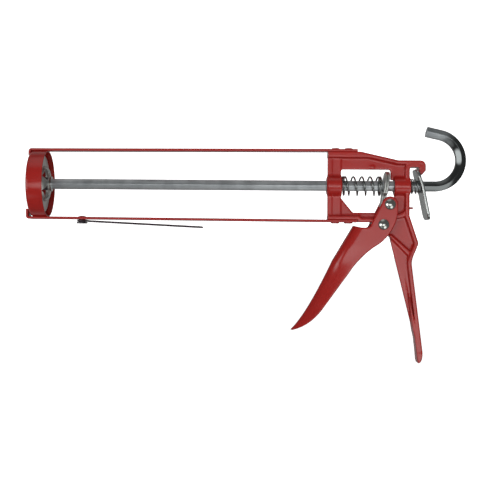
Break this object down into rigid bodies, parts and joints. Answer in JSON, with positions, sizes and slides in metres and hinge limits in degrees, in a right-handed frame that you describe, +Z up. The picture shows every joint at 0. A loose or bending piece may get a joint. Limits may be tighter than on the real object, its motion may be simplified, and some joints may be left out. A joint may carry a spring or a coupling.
{
  "type": "caulking gun",
  "caption": "Skeleton caulking gun: open strap cradle with front ring, hexagonal push rod with plunger and hanging hook, cast grip, pivoting trigger, drive plates and release lever.",
  "frame": {"origin": "centre of the nozzle opening, on the inner face of the front ring's plate", "axes": "+X rearwards along the push rod, +Z up, away from the trigger, Y across the width"},
  "size_m": [0.3504, 0.053, 0.1886],
  "materials": {
    "red_sheet": "smooth gloss powder coat on pressed steel",
    "red_casting": "satin powder coat on a die casting",
    "bright_rod": "drawn hexagonal bar, zinc plated, polished at the hook",
    "zinc_plate": "stamped steel, bright zinc plated",
    "nickel_pin": "polished nickel",
    "spring_steel": "oiled spring wire",
    "dark_steel": "blackened steel"
  },
  "bodies": {
    "gun_frame": {"front_ring": "red_sheet", "top_strap": "red_sheet", "bottom_strap": "red_sheet", "handle_casting": "red_casting", "top_strap_rivets": "red_sheet", "bottom_strap_rivets": "red_sheet", "trigger_pivot_pin": "nickel_pin", "drive_spring": "spring_steel", "brake_spring": "spring_steel", "punch_rivet": "dark_steel"},
    "rod_and_plunger": {"push_rod": "bright_rod", "rod_hook": "bright_rod", "plunger_disc": "zinc_plate", "plunger_washer": "zinc_plate", "plunger_nut": "dark_steel"},
    "drive_plates": {"drive_plate_front": "zinc_plate", "drive_plate_rear": "zinc_plate"},
    "trigger_arm": {"trigger": "red_sheet", "trigger_push_pin": "nickel_pin"},
    "brake": {"release_lever": "zinc_plate"},
    "punch": {"seal_punch": "dark_steel"}
  },
  "joints": [
    {"name": "rod_slide", "type": "slide", "parent": "gun_frame", "child": "rod_and_plunger", "axis": [1, 0, 0], "range_m": [-0.0045, 0.215]},
    {"name": "trigger_pivot", "type": "hinge", "parent": "gun_frame", "child": "trigger_arm", "pos_m": [0.2791, 0, -0.0308], "axis": [0, -1, 0], "range_deg": [0, 40], "stiffness_Nm_per_rad": 0.4, "springref_deg": -17.19},
    {"name": "drive_plate_slide", "type": "slide", "parent": "gun_frame", "child": "drive_plates", "axis": [-1, 0, 0], "range_m": [0, 0.0117], "deforming": ["drive_spring"]},
    {"name": "release_hinge", "type": "hinge", "parent": "gun_frame", "child": "brake", "pos_m": [0.3072, 0, 0.0105], "axis": [0, 1, 0], "range_deg": [0, 9], "stiffness_Nm_per_rad": 0.1, "springref_deg": -8.59, "deforming": ["brake_spring"]},
    {"name": "punch_swing", "type": "hinge", "parent": "gun_frame", "child": "punch", "pos_m": [0.039, 0, -0.0297], "axis": [0, 0, 1], "continuous": true}
  ],
  "couplings": [
    {"joint": "drive_plate_slide", "follows": "trigger_pivot", "m_per_rad": 0.0165}
  ]
}
